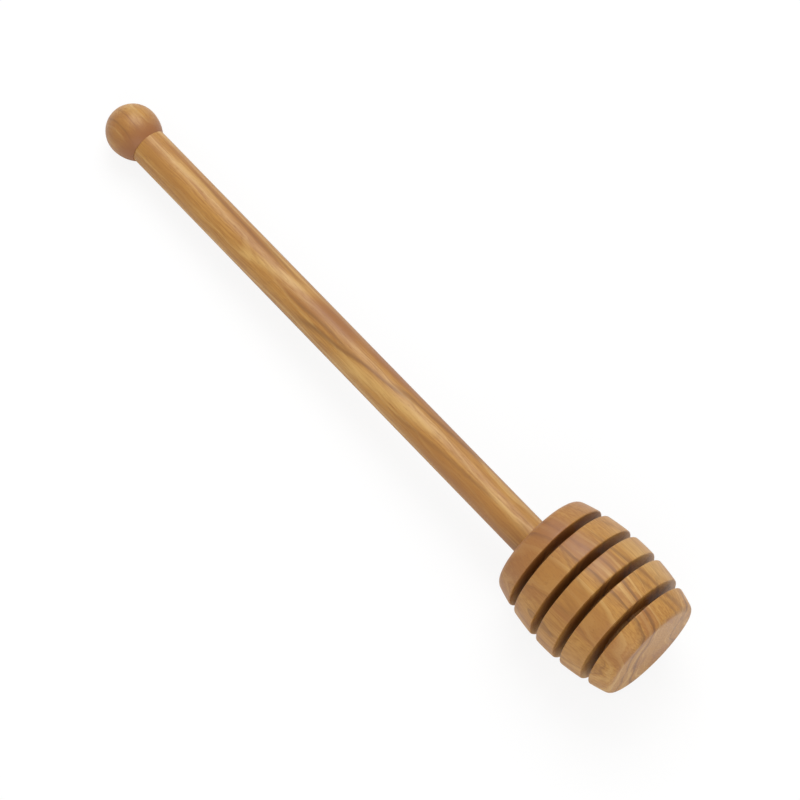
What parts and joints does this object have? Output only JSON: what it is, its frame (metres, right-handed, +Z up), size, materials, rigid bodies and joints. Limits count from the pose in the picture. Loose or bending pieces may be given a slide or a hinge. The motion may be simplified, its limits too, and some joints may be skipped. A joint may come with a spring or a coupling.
{
  "type": "honey dipper",
  "caption": "Turned wooden honey dipper with a grooved barrel head, a straight round handle and a ball knob, lying on its head and knob.",
  "frame": {"origin": "on the floor under the middle of the dipper's bounding box, with the belly of the head and the knob resting on the floor", "axes": "+X along the head's axis in plan, towards the tip face; +Z up; the head's axis leans 3.44 degrees, tip end up, and the handle leaves the head at 1.5 degrees towards +Y"},
  "size_m": [0.2004, 0.035, 0.0351],
  "materials": {
    "head_wood": "satin, oiled olive wood with brown figure",
    "handle_wood": "satin, oiled olive wood with long streaks",
    "knob_wood": "satin, oiled olive wood, darker towards the handle"
  },
  "bodies": {
    "root": {"head": "head_wood", "handle": "handle_wood", "knob": "knob_wood"}
  },
  "joints": []
}
